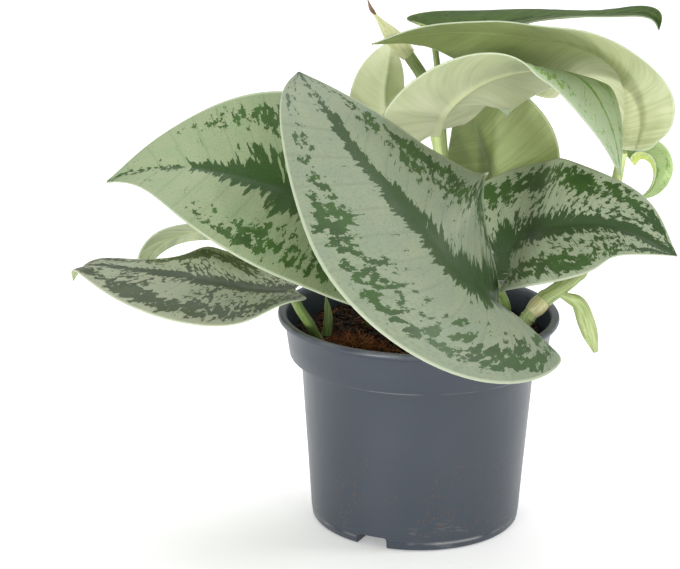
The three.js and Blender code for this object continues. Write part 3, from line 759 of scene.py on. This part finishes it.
# %% Variegated upper skin
def silver_leaf(name, seed, silver, green, fresh, band_mm, patch, clear_tip=0.0, freshness=0.5, middle=0.12,
                gloss=0.42):
    """Waxy leaf cuticle, IOR about 1.45: silver patches are satin, and the green between is a little glossier.

    band_mm is the half width of the green band on the midrib, patch raises the share of green elsewhere,
    clear_tip leaves the tip silver, and middle is how easily green starts halfway to the margin.
    """
    material, tree, shader = new_finish("waxy leaf skin, " + name)
    across, along_leaf, to_margin, from_midrib = vein_places(tree)
    # Patches are about 6 mm along a vein and 3 mm across it, with edges that break up to 0.3 mm.
    blotch = vein_noise(tree, across, along_leaf, 19, 52, seed, 4.0, 0.62)
    cluster = vein_noise(tree, across, along_leaf, 5, 9, seed + 31, 2.0, 0.5)
    spikes = vein_noise(tree, across, along_leaf, 7, 64, seed + 57, 4.0, 0.62)
    streaks = vein_noise(tree, across, along_leaf, 3.5, 120, seed + 83, 3.0, 0.6)
    zone = ramp(tree, to_margin, [(0.0, 0.4), (0.2, middle), (0.42, middle), (0.56, 0.4), (0.68, 0.68),
                                  (0.84, 0.68), (0.93, 0.35), (0.985, 0.0)])
    away_from_tip = math_node(tree, "SUBTRACT", 1.0, sharp(tree, along_leaf, 0.5, 0.85))
    tip_loss = math_node(tree, "MULTIPLY", math_node(tree, "SUBTRACT", 1.0, away_from_tip), float(clear_tip))
    narrowing = math_node(tree, "SUBTRACT", 1.12, along_leaf)
    band = math_node(tree, "MULTIPLY", narrowing, float(band_mm))
    band_reach = math_node(tree, "DIVIDE", from_midrib, band)
    ragged = math_node(tree, "MULTIPLY_ADD", math_node(tree, "SUBTRACT", spikes, 0.5), 3.2, band_reach)
    ragged = math_node(tree, "MULTIPLY_ADD", math_node(tree, "SUBTRACT", cluster, 0.5), 2.4, ragged)
    ragged = math_node(tree, "ADD", ragged, tip_loss)
    in_band = math_node(tree, "SUBTRACT", 1.0, sharp(tree, ragged, 0.95, 1.05))
    score = math_node(tree, "MULTIPLY_ADD", cluster, 0.5, blotch)
    score = math_node(tree, "MULTIPLY_ADD", zone, 0.42, score)
    score = math_node(tree, "SUBTRACT", score, math_node(tree, "MULTIPLY", tip_loss, 0.2))
    in_patch = sharp(tree, score, 1.05 - patch, 1.07 - patch)
    in_streak = math_node(tree, "MULTIPLY", sharp(tree, streaks, 0.64, 0.67), sharp(tree, cluster, 0.5, 0.56))
    is_green = math_node(tree, "MAXIMUM", in_band, in_patch)
    is_green = math_node(tree, "MAXIMUM", is_green, math_node(tree, "MULTIPLY", in_streak, 0.9))
    is_green = math_node(tree, "MULTIPLY", is_green,
                         math_node(tree, "SUBTRACT", 1.0, sharp(tree, to_margin, 0.955, 0.985)))

    # Silver is cloudy at 10 mm and has a fine cell grain; green is fresher away from the midrib.
    cloud = vein_noise(tree, across, along_leaf, 7, 14, seed + 11, 3.0)
    cells = vein_noise(tree, across, along_leaf, 90, 190, seed + 5, 1.0)
    pale, cool = linear(silver[0]), linear(silver[1])
    silver_tone = mix_colour(tree, sharp(tree, cloud, 0.35, 0.65), pale, cool)
    silver_cells = math_node(tree, "MULTIPLY", sharp(tree, cells, 0.45, 0.75), 0.22)
    silver_tone = mix_colour(tree, silver_cells, silver_tone,
                             linear(green))
    fresh_share = math_node(tree, "MULTIPLY", sharp(tree, from_midrib, 4.0, 20.0),
                            sharp(tree, cloud, 0.3, 0.6))
    fresh_share = math_node(tree, "MULTIPLY", fresh_share, float(freshness))
    green_tone = mix_colour(tree, fresh_share, linear(green), linear(fresh))
    green_cells = math_node(tree, "MULTIPLY", sharp(tree, cells, 0.4, 0.7), 0.3)
    green_tone = mix_colour(tree, green_cells, green_tone,
                            linear(fresh))
    skin = mix_colour(tree, is_green, silver_tone, green_tone)

    # Fine side veins show as faint darker lines every 4 mm; the margin is a thin pale line.
    vein_line = math_node(tree, "COSINE", math_node(tree, "MULTIPLY", along_leaf, 2 * math.pi * VEIN_PAIRS))
    vein_line = math_node(tree, "MULTIPLY", sharp(tree, vein_line, 0.9, 1.0), 0.12)
    skin = mix_colour(tree, vein_line, skin, linear(green))
    margin = math_node(tree, "MULTIPLY", sharp(tree, to_margin, 0.97, 0.992), 0.75)
    skin = mix_colour(tree, margin, skin, linear("b7bfa6"))
    tree.links.new(skin, shader.inputs["Base Color"])

    roughness = math_node(tree, "MULTIPLY_ADD", is_green, -0.08, 0.5)
    tree.links.new(roughness, shader.inputs["Roughness"])
    shader.inputs["IOR"].default_value = 1.45
    shader.inputs["Specular IOR Level"].default_value = gloss
    shader.inputs["Subsurface Weight"].default_value = 0.1
    shader.inputs["Subsurface Radius"].default_value = (0.8, 1.0, 0.6)
    shader.inputs["Subsurface Scale"].default_value = 0.002
    # Silver skin stands a hair proud of the green, and both are pebbled by cells about 0.5 mm wide.
    height = math_node(tree, "MULTIPLY_ADD", is_green, -0.5, math_node(tree, "MULTIPLY", cells, 0.5))
    bump = node(tree, "Bump", {"Height": height, "Strength": 0.35, "Distance": 0.0003})
    tree.links.new(bump.outputs[0], shader.inputs["Normal"])
    return material


print("silver leaf finish ready")


# %% Pale underside
def pale_underside(name, seed, base, tip, rib, streak=0.3, rib_share=0.5, shaded_halves=(0.0, 0.0), shade="6f7f4d"):
    """Leaf underside: no silver, a matt pale green with the veins showing as fine streaks that fan out.

    The tone goes from base to tip. It is partly the leaf's own tone and partly painted light: a paler base for
    light glowing through the blade and a deeper tip for shade. Each half may also be made deeper with painted
    shade.
    """
    material, tree, shader = new_finish("matt leaf underside, " + name)
    across, along_leaf, to_margin, from_midrib = vein_places(tree)
    # Veinlets 1.5 mm apart, and broader folds of tone 10 mm apart between the side veins.
    streaks = vein_noise(tree, across, along_leaf, 1.6, 80, seed, 2.0)
    broad = vein_noise(tree, across, along_leaf, 1.6, 12, seed + 7, 2.0)
    # Painted light, partly the leaf's own tone: a paler base stands in for light glowing through the blade, and
    # a deeper tip for shade.
    tone = mix_colour(tree, sharp(tree, along_leaf, 0.0, 0.9), linear(base), linear(tip))
    share = math_node(tree, "MULTIPLY_ADD", sharp(tree, streaks, 0.4, 0.7), 0.6 * streak,
                      math_node(tree, "MULTIPLY", sharp(tree, broad, 0.35, 0.7), 0.8 * streak))
    # Painted shade: one half of the blade is made deeper, where it lies in shade.
    on_right = sharp(tree, across, 0.49, 0.51)
    half = math_node(tree, "MULTIPLY_ADD", on_right, float(shaded_halves[1] - shaded_halves[0]), float(shaded_halves[0]))
    tone = mix_colour(tree, math_node(tree, "ADD", share, half, clamp=True), tone, linear(shade))
    rib_reach = math_node(tree, "DIVIDE", from_midrib, math_node(tree, "SUBTRACT", 3.2, math_node(
        tree, "MULTIPLY", along_leaf, 2.8)))
    on_rib = math_node(tree, "SUBTRACT", 1.0, sharp(tree, rib_reach, 0.35, 1.2))
    tone = mix_colour(tree, math_node(tree, "MULTIPLY", on_rib, float(rib_share)), tone, linear(rib))
    margin = math_node(tree, "MULTIPLY", sharp(tree, to_margin, 0.965, 0.99), 0.6)
    tone = mix_colour(tree, margin, tone, linear("cdd6b0"))
    tree.links.new(tone, shader.inputs["Base Color"])
    shader.inputs["Roughness"].default_value = 0.55
    shader.inputs["IOR"].default_value = 1.45
    shader.inputs["Specular IOR Level"].default_value = 0.3
    # Light from above glows through the thin blade.
    shader.inputs["Subsurface Weight"].default_value = 0.4
    shader.inputs["Subsurface Radius"].default_value = (0.9, 1.0, 0.65)
    shader.inputs["Subsurface Scale"].default_value = 0.003
    bump = node(tree, "Bump", {"Height": streaks, "Strength": 0.3, "Distance": 0.0003})
    tree.links.new(bump.outputs[0], shader.inputs["Normal"])
    return material


print("underside finish ready")

# %% [markdown]
# Old leaves on the vine are grey-silver. The high ones are younger, so they are seen from below as pale
# yellow-green and carry brighter green streaks on top. Each leaf gets a pattern of its own. The undersides of
# the high leaves also carry painted light, a pale base and a deeper tip, and one half of the back leaf is
# painted shade.
# %% Make the leaves
LEAF_SKINS = {
    "front_leaf": (silver_leaf("front", 3, ("899379", "828f78"), "364a2d", "42602c", 12, 0.06, 0.35),
                   pale_underside("front", 1, "a9b78f", "9daa80", "b9c497")),
    "left_leaf": (silver_leaf("left", 8, ("929e7b", "8b9c78"), "334b27", "4a6c30", 19, 0.07, 0.9),
                  pale_underside("left", 2, "a9b78f", "9daa80", "b9c497")),
    "lower_left_leaf": (silver_leaf("lower left", 14, ("a1a68c", "9aa489"), "324020", "3f5228", 6, 0.11,
                                    middle=0.35),
                        pale_underside("lower left", 3, "a9b78f", "9daa80", "b9c497")),
    "arching_leaf": (silver_leaf("arching", 21, ("98a284", "91a083"), "44552f", "54703a", 6, 0.0),
                     pale_underside("arching", 4, "a9b08a", "9aa47c", "b3bb90", 0.6, shade="67744b")),
    "right_leaf": (silver_leaf("right", 27, ("9da78c", "98a48a"), "33472a", "436626", 11, 0.1, middle=0.35),
                   pale_underside("right", 5, "a9b78f", "9daa80", "b9c497")),
    # Painted light on this underside: the pale base and deep tip stand in for light glowing through the blade
    # and for shade.
    "upper_centre_leaf": (silver_leaf("upper centre", 33, ("b0bd9c", "a9bb9c"), "71954c", "86a850", 3, -0.03),
                          pale_underside("upper centre", 6, "cfd3b4", "8b956c", "dde0b2", 0.3, shade="7f8a5c")),
    # Painted light on this underside: the pale base stands in for light glowing through from the right, and the
    # deep tip for shade.
    "upper_right_leaf": (silver_leaf("upper right", 39, ("a4b08c", "9dae8a"), "5c7a3c", "6d8c42", 7, 0.0),
                         pale_underside("upper right", 7, "dcdfbd", "87905f", "d8dca8", 0.35, 0.15)),
    "top_leaf": (silver_leaf("top", 45, ("4b6030", "44592c"), "34481f", "3d5424", 8, 0.03, gloss=0.05),
                 pale_underside("top", 8, "8b9965", "76864c", "98a56e", 0.4)),
    "small_pale_leaf": (silver_leaf("small", 51, ("b4bd97", "adb994"), "7d9a5c", "89a758", 2, -0.1),
                        pale_underside("small", 9, "d0d3b6", "c2c8a6", "d2d6b0", 0.15, 0.2)),
    # Painted shade: one half of this underside is made deeper, where it lies in shade.
    "back_leaf": (silver_leaf("back", 57, ("a5b08c", "9fac8a"), "5a7540", "678644", 6, 0.0),
                  pale_underside("back", 10, "a2ab80", "929c70", "75824f", 0.35, 0.5, (0.0, 0.85), "5d6a38")),
    "young_curled_leaf": (silver_leaf("young", 63, ("b3c48f", "a9c084"), "7c9c4c", "8fb050", 2, -0.05),
                          pale_underside("young", 11, "c4d07c", "b4c366", "ccd88a", 0.3)),
}
OLD_LEAVES = ("front_leaf", "left_leaf", "lower_left_leaf", "right_leaf")
for leaf_name, leaf in LEAVES.items():
    small = np.max(leaf["width"]) < 40
    blade = make_blade(leaf_name, leaf, LEAF_SKINS[leaf_name], wave=0.25 if small else 0.9,
                       vein_depth=0.05 if small else 0.16)
    slot = "variegated_leaf" if leaf_name in OLD_LEAVES else "pale_leaf"
    print(leaf_name, len(blade.data.polygons), "faces")

# %% [markdown]
# ## Vine, petioles and shoots
# A stalk is a cylinder, cut into rings and laid along its curve, thinner towards the leaf. A petiole has a
# groove on its upper side and ends in a small swelling, the knee that turns the blade to the light. The
# vine has a knot wherever a leaf leaves it. A cylinder bent this way keeps even rings with no pinches,
# which a spun or skinned stalk would not.
# %% Stalks' dimensions in millimetres
STALKS = {
    "main_vine": ([(8, 11, 82.6), (10, 14, 112), (10, 17, 145), (7, 19, 172), (1, 20, 188),
                   (-6, 19, 199)], 2.8),
    "right_vine": ([(40, -10, 83.2), (43, -10, 88), (47.5, -9, 94.5)], 3.4),
    "right_vine_upper": ([(53, -7, 100), (60, -6, 105), (68, -4, 112), (76, 1, 127), (80, 4, 138)], 3.4),
    "front_petiole": ([(15, -16, 83.4), (19, -24, 91), (27, -38, 100), (32, -46, 106.2)], 2),
    "left_petiole": ([(-2, -2, 82.6), (-5, -3, 98), (-10, -6, 112), (-16, -9.2, 123.4)], 2),
    "arching_petiole": ([(-20, 8, 82.6), (-28, 11, 97), (-42, 15, 111), (-62, 19.6, 118.4)], 1.6),
    "lower_left_petiole": ([(-43, -19, 84), (-46, -21, 92), (-50, -23, 99), (-53, -25, 105.6)], 2.4),
    "right_petiole": ([(38, 1, 82.6), (37.5, -2, 94), (35, -4, 101), (31.6, -4.8, 106.6)], 1.9),
    "upper_centre_petiole": ([(11, 10.4, 130), (9.6, 8.6, 144), (7.4, 6.6, 158), (6.2, 5.9, 166)], 2.6),
    "upper_right_petiole": ([(80.6, 4.4, 140), (82.4, 4.2, 149), (83.6, 2.6, 159.4)], 2.6),
    "top_petiole": ([(8, 24, 166), (8, 38, 183), (6.2, 52, 198.6)], 1.7),
    "small_pale_petiole": ([(5.4, 19, 138), (-3, 21.6, 148), (-11.2, 23.8, 158)], 1.4),
    "back_petiole": ([(20, 20, 82.6), (27, 25, 102), (33, 31, 120), (35.9, 34.6, 129.6)], 1.9),
}
SPINDLES = {
    "shoot_sheath": ([(-6.4, 18.9, 199.6), (-13, 18, 207), (-20, 16, 216)], [2.9, 3.6, 3.1, 1.6, 0.5]),
    "dry_shoot_tip": ([(-20.4, 15.9, 216.8), (-21.8, 15.5, 218.8), (-23, 15, 222)], [0.5, 0.9, 0.6, 0.2]),
    "right_node_ring": ([(48, -8.8, 95), (50.4, -8, 97.4), (52.5, -7.2, 99.5)], [3.3, 3.9, 3.9, 3.3]),
    "hanging_bud": ([(62.5, -8, 101), (67, -9, 99), (71, -9, 90), (75, -10, 78)], [1.2, 2.6, 3.2, 2.8, 1]),
    "left_spear": ([(-39, -8, 84), (-38.5, -6.5, 91), (-39.5, -5, 99)], [1.9, 1.8, 1.3, 0.3]),
    "right_spear": ([(36, 8, 82.6), (36.5, 8, 91), (35, 10, 99)], [2.2, 2, 1.6, 0.3]),
}
print(len(STALKS), "stalks,", len(SPINDLES), "buds and sheaths")


# %% Lay a cylinder along a curve
def lay_along(name, points, radius_at, sides=20, rings=48, groove=0.0, lap=0.0, extend=(0.0, 0.0)):
    """A cylinder of the piece's length, bent along the points. radius_at gives the radius in mm at a share.

    groove hollows the upper side, and lap makes the section a spiral, like a leaf rolled on itself.
    """
    line = Line(points)
    bpy.ops.object.select_all(action="DESELECT")
    bpy.ops.mesh.primitive_cylinder_add(vertices=sides, radius=1, depth=2, end_fill_type="TRIFAN")
    stalk = bpy.context.object
    stalk.name = name
    bpy.ops.object.mode_set(mode="EDIT")
    for ring in range(1, rings):
        bpy.ops.mesh.select_all(action="SELECT")
        bpy.ops.mesh.bisect(plane_co=(0, 0, -1 + 2 * ring / rings), plane_no=(0, 0, 1))
    bpy.ops.mesh.select_all(action="SELECT")
    bpy.ops.mesh.normals_make_consistent(inside=False)
    bpy.ops.object.mode_set(mode="OBJECT")
    place = np.array([v.co for v in stalk.data.vertices])
    share = (place[:, 2] + 1) / 2
    distance = share * (line.length + sum(extend)) - extend[0]
    start, end = unit(line.at(0.5) - line.at(0.0)), unit(line.at(line.length) - line.at(line.length - 0.5))
    centre = line.at(np.clip(distance, 0, line.length))
    centre = centre + start * np.minimum(distance, 0)[:, None]
    centre = centre + end * np.maximum(distance - line.length, 0)[:, None]
    inside = np.clip(distance, 0.8, line.length - 0.8)
    direction = unit(line.at(inside + 0.8) - line.at(inside - 0.8))
    side = unit(np.cross(direction, np.array([0.15, 1.0, 0.1])))
    front = np.cross(side, direction)
    radius = radius_at(share)
    turn = np.arctan2(place[:, 1], place[:, 0])
    radius = radius * (1 - groove * np.exp(-((np.abs(turn) - np.pi / 2) / 0.45) ** 2 * 2) * (turn > 0))
    radius = radius * (1 + lap * np.mod(turn / (2 * np.pi) + 0.45 * share, 1))
    ring_place = place[:, :2] * radius[:, None]
    laid = centre + side * ring_place[:, :1] + front * ring_place[:, 1:]
    stalk.data.vertices.foreach_set("co", (laid * MM).ravel())
    around = np.stack([turn / (2 * np.pi), distance / 100], -1)
    corner = np.zeros(len(stalk.data.loops), int)
    stalk.data.loops.foreach_get("vertex_index", corner)
    stalk.data.uv_layers[0].name = "stalk"
    stalk.data.uv_layers["stalk"].data.foreach_set("uv", around[corner].ravel())
    bpy.ops.object.shade_smooth_by_angle(angle=math.radians(50))
    return stalk


print("stalk maker ready")


# %% Stalk finishes
def stalk_skin(name, seed, body, dark, fleck="8a7b4d", flecks=0.15):
    """Waxy green stem, IOR about 1.45: fine lengthwise fibres, soft bands of tone and a few corky flecks."""
    material, tree, shader = new_finish("waxy stalk skin, " + name)
    place = node(tree, "SeparateXYZ", {0: node(tree, "UVMap", uv_map="stalk").outputs[0]})
    turn = math_node(tree, "MULTIPLY", place.outputs[0], 2 * math.pi)
    round_x = math_node(tree, "COSINE", turn)
    round_y = math_node(tree, "SINE", turn)
    length = math_node(tree, "MULTIPLY", place.outputs[1], 100.0)
    fibre_place = node(tree, "CombineXYZ", {0: math_node(tree, "MULTIPLY", round_x, 5.0),
                                            1: math_node(tree, "MULTIPLY", round_y, 5.0),
                                            2: math_node(tree, "MULTIPLY_ADD", length, 0.12, float(seed))})
    fibre = node(tree, "TexNoise", {"Vector": fibre_place.outputs[0], "Scale": 1.0, "Detail": 2.0}).outputs[0]
    tone = mix_colour(tree, sharp(tree, fibre, 0.35, 0.68), linear(body), linear(dark))
    fleck_place = node(tree, "CombineXYZ", {0: math_node(tree, "MULTIPLY", round_x, 1.5),
                                            1: math_node(tree, "MULTIPLY", round_y, 1.5),
                                            2: math_node(tree, "MULTIPLY_ADD", length, 0.5, float(seed + 9))})
    spot = node(tree, "TexNoise", {"Vector": fleck_place.outputs[0], "Scale": 1.6, "Detail": 3.0}).outputs[0]
    spots = math_node(tree, "MULTIPLY", sharp(tree, spot, 0.62, 0.7), float(flecks) * 4)
    tone = mix_colour(tree, spots, tone, linear(fleck))
    tree.links.new(tone, shader.inputs["Base Color"])
    shader.inputs["Roughness"].default_value = 0.42
    shader.inputs["IOR"].default_value = 1.45
    bump = node(tree, "Bump", {"Height": fibre, "Strength": 0.25, "Distance": 0.0004})
    tree.links.new(bump.outputs[0], shader.inputs["Normal"])
    return material


green_stem = stalk_skin("green stem", 4, "9cab72", "7f9058")
olive_stem = stalk_skin("olive petiole", 9, "76894b", "55703a")
yellow_stem = stalk_skin("young petiole", 15, "cfdd9a", "b3c780", flecks=0.03)
pale_ring = stalk_skin("pale node ring", 22, "bcb78c", "a3a273", "8a7650", 0.12)
sheath_skin = stalk_skin("pale sheath", 27, "d3d3a4", "b6bd84", "8d6a35", 0.12)
bud_skin = stalk_skin("rolled young leaf", 33, "aebb82", "8a9d5c", flecks=0.02)
spear_skin = stalk_skin("spear", 38, "8fa06a", "5d7340", flecks=0.03)
dry_skin = stalk_skin("dried tip", 41, "8d6a4e", "5a3f2e", "3d2a20", 0.5)
print("stalk finishes made")

# %% Make the stalks
STALK_SKINS = {"main_vine": green_stem, "right_vine": green_stem, "right_vine_upper": green_stem,
               "upper_centre_petiole": yellow_stem, "upper_right_petiole": yellow_stem,
               "small_pale_petiole": yellow_stem, "top_petiole": green_stem}
for stalk_name, (points, radius) in STALKS.items():
    is_vine = "vine" in stalk_name

    def stalk_radius(share, radius=radius, is_vine=is_vine):
        if is_vine:
            knots = 0.13 * np.exp(-((np.mod(share * 3 + 0.4, 1.0) - 0.5) / 0.06) ** 2)
            return radius * (1.02 - 0.12 * share + knots)
        knee = 0.16 * np.exp(-((share - 0.95) / 0.06) ** 2)
        foot = 0.35 * np.exp(-(share / 0.14) ** 2)
        return radius * (0.98 - 0.2 * share + knee + foot)

    stalk = lay_along("stalk_" + stalk_name, points, stalk_radius, groove=0.0 if is_vine else 0.25,
                      extend=(1.5, 2.5))
    stalk.data.materials.append(STALK_SKINS.get(stalk_name, olive_stem))
    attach(stalk, "root")
    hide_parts(stalk_name)
print("stalks laid")

# %% Make the buds, sheath and spears
SPINDLE_SKINS = {"shoot_sheath": (sheath_skin, "young_leaf"), "dry_shoot_tip": (dry_skin, "dry_tissue"),
                 "right_node_ring": (pale_ring, "green_stalk"), "hanging_bud": (bud_skin, "young_leaf"),
                 "left_spear": (spear_skin, "green_stalk"), "right_spear": (spear_skin, "green_stalk")}
LAPS = {"hanging_bud": 0.3, "shoot_sheath": 0.16, "left_spear": 0.2, "right_spear": 0.2}
for spindle_name, (points, radii) in SPINDLES.items():
    spindle = lay_along("stalk_" + spindle_name, points,
                        lambda share, radii=radii: along(radii, share), sides=32,
                        rings=40, lap=LAPS.get(spindle_name, 0.0),
                        extend=(4.0 if spindle_name == "hanging_bud" else 1.0, 0.6))
    skin, slot = SPINDLE_SKINS[spindle_name]
    spindle.data.materials.append(skin)
    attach(spindle, "root")
    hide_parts(spindle_name)
print("spindles laid")
